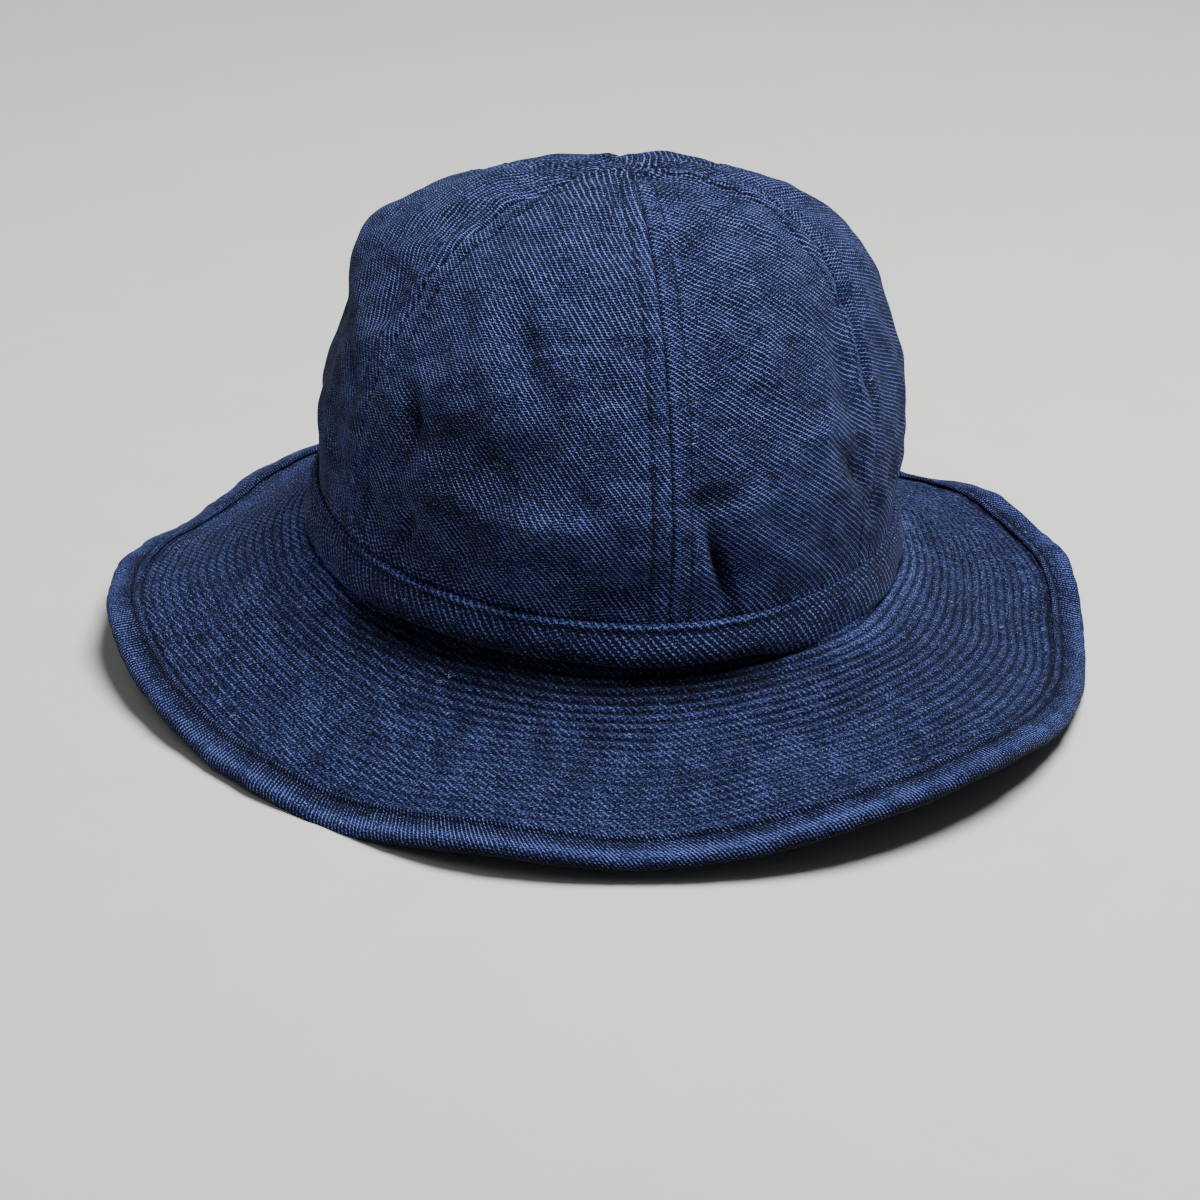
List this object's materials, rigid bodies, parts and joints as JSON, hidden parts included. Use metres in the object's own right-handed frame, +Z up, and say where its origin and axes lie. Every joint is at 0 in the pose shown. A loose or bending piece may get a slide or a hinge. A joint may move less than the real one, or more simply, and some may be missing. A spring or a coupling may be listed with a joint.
{
  "type": "fatigue hat",
  "caption": "Soft denim fatigue hat with a round gored crown, a narrow crown band and a full stitched brim with a bound edge.",
  "frame": {"origin": "middle of the hat's overall box, on the surface that the brim rests on", "axes": "+Z up, the front of the hat towards -Y, +X to the viewer's right when the front is seen"},
  "size_m": [0.3014, 0.3306, 0.1466],
  "materials": {
    "crown_denim": "coarse slubby indigo twill",
    "band_denim": "coarse slubby indigo twill",
    "brim_denim": "indigo twill quilted with rows of stitches",
    "binding_denim": "indigo twill cut on the bias"
  },
  "bodies": {
    "root": {"crown_gore_front_right": "crown_denim", "crown_gore_right": "crown_denim", "crown_gore_back_right": "crown_denim", "crown_gore_back_left": "crown_denim", "crown_gore_left": "crown_denim", "crown_gore_front_left": "crown_denim", "crown_band": "band_denim", "brim": "brim_denim", "brim_binding": "binding_denim"}
  },
  "joints": []
}
